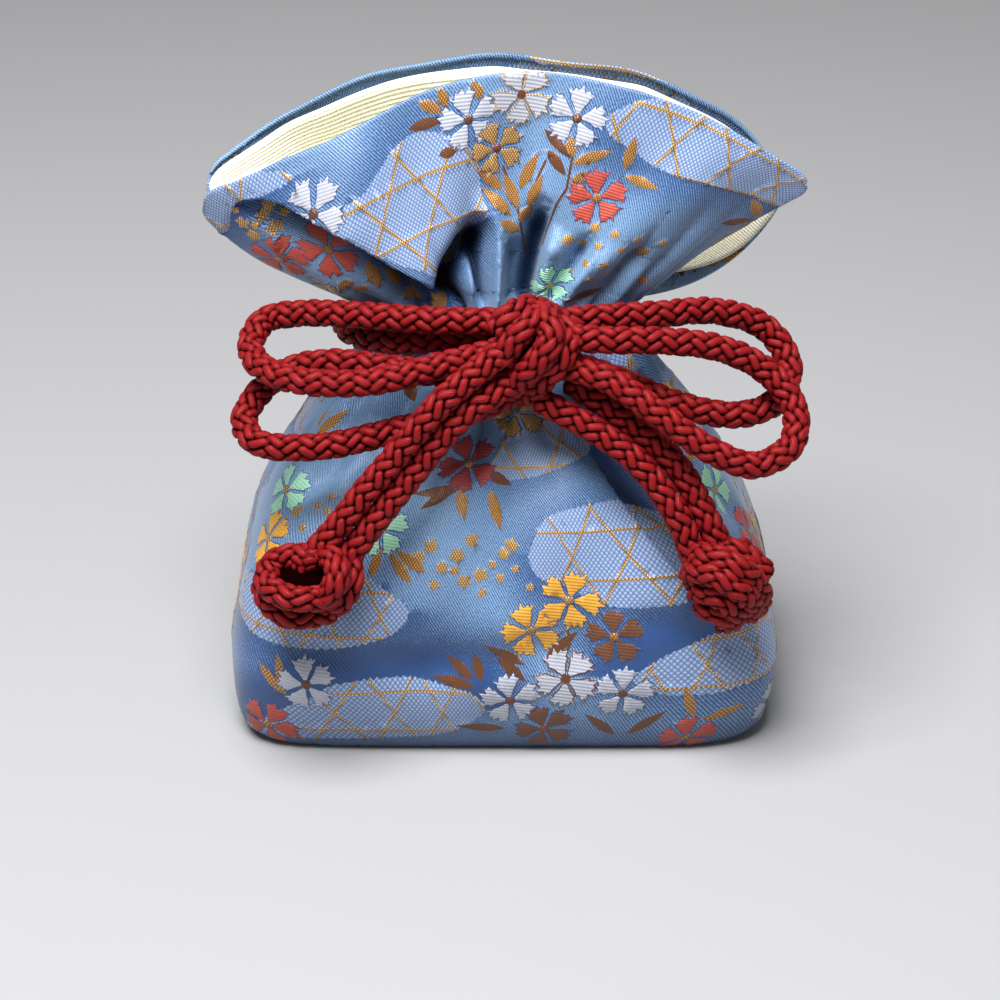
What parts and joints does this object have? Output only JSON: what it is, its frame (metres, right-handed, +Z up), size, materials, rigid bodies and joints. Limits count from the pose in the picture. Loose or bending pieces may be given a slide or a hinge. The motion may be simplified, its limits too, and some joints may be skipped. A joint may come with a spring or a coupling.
{
  "type": "scented sachet pouch",
  "caption": "Lined brocade drawstring sachet pouch on a flat foot, gathered at the neck under flared flaps, with a braided cord tied in a bow.",
  "frame": {"origin": "middle of the flat foot, on the surface that the pouch stands on", "axes": "+X to the right seen from the front, +Y from the front to the back, +Z up"},
  "size_m": [0.08, 0.0595, 0.0889],
  "materials": {
    "brocade": "blue silk satin brocade with woven flowers, leaves and gold lattice",
    "lining": "cream ribbed lining cloth",
    "packet": "soft paper-cloth packet of scent",
    "cord": "dark red round braid"
  },
  "bodies": {
    "root": {"outer_bag": "brocade", "lining": "lining", "scent_packet": "packet", "bow_knot": "cord", "left_end_knot": "cord", "right_end_knot": "cord", "left_loop_upper": "cord", "left_loop_lower": "cord", "right_loop_upper": "cord", "right_loop_lower": "cord", "left_tail_outer": "cord", "left_tail_inner": "cord", "right_tail_outer": "cord", "right_tail_inner": "cord", "left_neck_strand": "cord", "right_neck_strand": "cord"}
  },
  "joints": []
}
